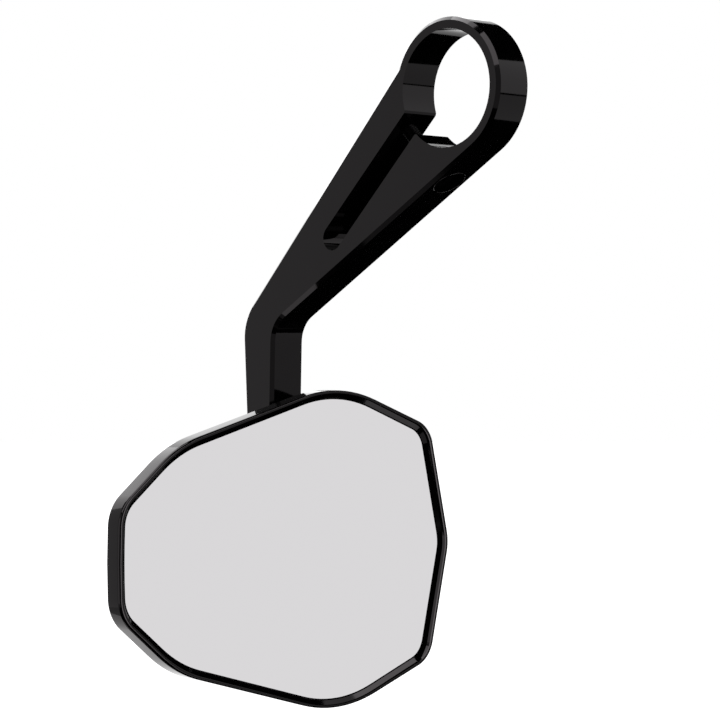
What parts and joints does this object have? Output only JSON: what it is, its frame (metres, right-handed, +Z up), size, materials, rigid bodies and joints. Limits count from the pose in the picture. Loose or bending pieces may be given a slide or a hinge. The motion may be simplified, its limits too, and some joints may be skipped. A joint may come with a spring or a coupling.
{
  "type": "motorcycle bar end mirror",
  "caption": "Bar end mirror: a flat black arm with a split clamp ring for a round bar end, and a many-sided mirror head on a ball joint below it.",
  "frame": {"origin": "centre of the clamp's bore, at the middle of the arm's thickness", "axes": "+Y along the bore into the handlebar, +Z up, +X the way the glass faces"},
  "size_m": [0.0934, 0.1185, 0.1786],
  "materials": {
    "black_anodised": "gloss black",
    "black_steel": "black oxide",
    "bright_steel": "polished",
    "seat_plastic": "matt",
    "mirror_face": "mirror",
    "foam_pad": "matt"
  },
  "bodies": {
    "arm": {"clamp_arm": "black_anodised", "clamp_screw": "black_steel", "ball_stud": "bright_steel", "stud_set_screw": "black_steel"},
    "rear_seat": {"rear_ball_seat": "seat_plastic"},
    "front_seat": {"front_ball_seat": "seat_plastic"},
    "head": {"mirror_housing": "black_anodised", "mirror_glass": "mirror_face", "glass_adhesive_pad": "foam_pad", "ball_retainer": "black_anodised", "retainer_screws": "black_steel"}
  },
  "joints": [
    {"name": "mirror_yaw", "type": "hinge", "parent": "arm", "child": "rear_seat", "pos_m": [-0.05758, 0, -0.1185], "axis": [0, 0, 1], "range_deg": [-15, 15]},
    {"name": "mirror_pitch", "type": "hinge", "parent": "rear_seat", "child": "front_seat", "pos_m": [-0.05758, 0, -0.1185], "axis": [0, 1, 0], "range_deg": [-12, 12]},
    {"name": "mirror_roll", "type": "hinge", "parent": "front_seat", "child": "head", "pos_m": [-0.05758, 0, -0.1185], "axis": [1, 0, 0], "range_deg": [-30, 180]}
  ]
}
